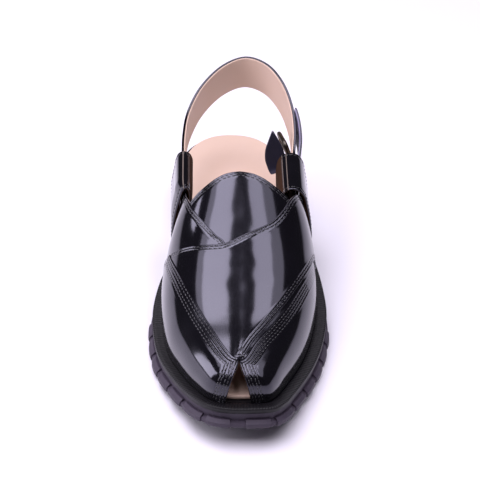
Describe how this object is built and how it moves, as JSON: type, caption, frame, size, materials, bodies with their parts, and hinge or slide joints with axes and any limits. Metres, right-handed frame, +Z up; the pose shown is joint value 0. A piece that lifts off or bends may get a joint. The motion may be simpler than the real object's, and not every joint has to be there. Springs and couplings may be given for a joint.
{
  "type": "peshawari chappal",
  "caption": "Left foot's closed-front leather sandal: crossed vamp and toe panels, small toe opening, side windows, and a buckled heel strap through side loops on a ribbed rubber sole.",
  "frame": {"origin": "the middle of the bounding box, on the floor the sole stands on", "axes": "+Z up, -Y towards the toe and +Y towards the heel, +X towards the outer (lateral) side of the left foot"},
  "size_m": [0.1204, 0.3, 0.1097],
  "materials": {
    "black_leather": "high-gloss polished",
    "strap_leather": "polished, with a beige lining",
    "insole_lining": "matte lining over a soft pad",
    "welt_rubber": "ribbed, satin",
    "outsole_rubber": "matte",
    "buckle_metal": "antique bronze"
  },
  "bodies": {
    "root": {"outsole": "outsole_rubber", "midsole": "welt_rubber", "insole": "insole_lining", "upper": "black_leather", "loop_medial": "black_leather", "loop_lateral": "black_leather", "heel_strap": "strap_leather", "strap_fold": "strap_leather", "billet": "strap_leather", "buckle_frame": "buckle_metal", "buckle_prong": "buckle_metal"}
  },
  "joints": []
}
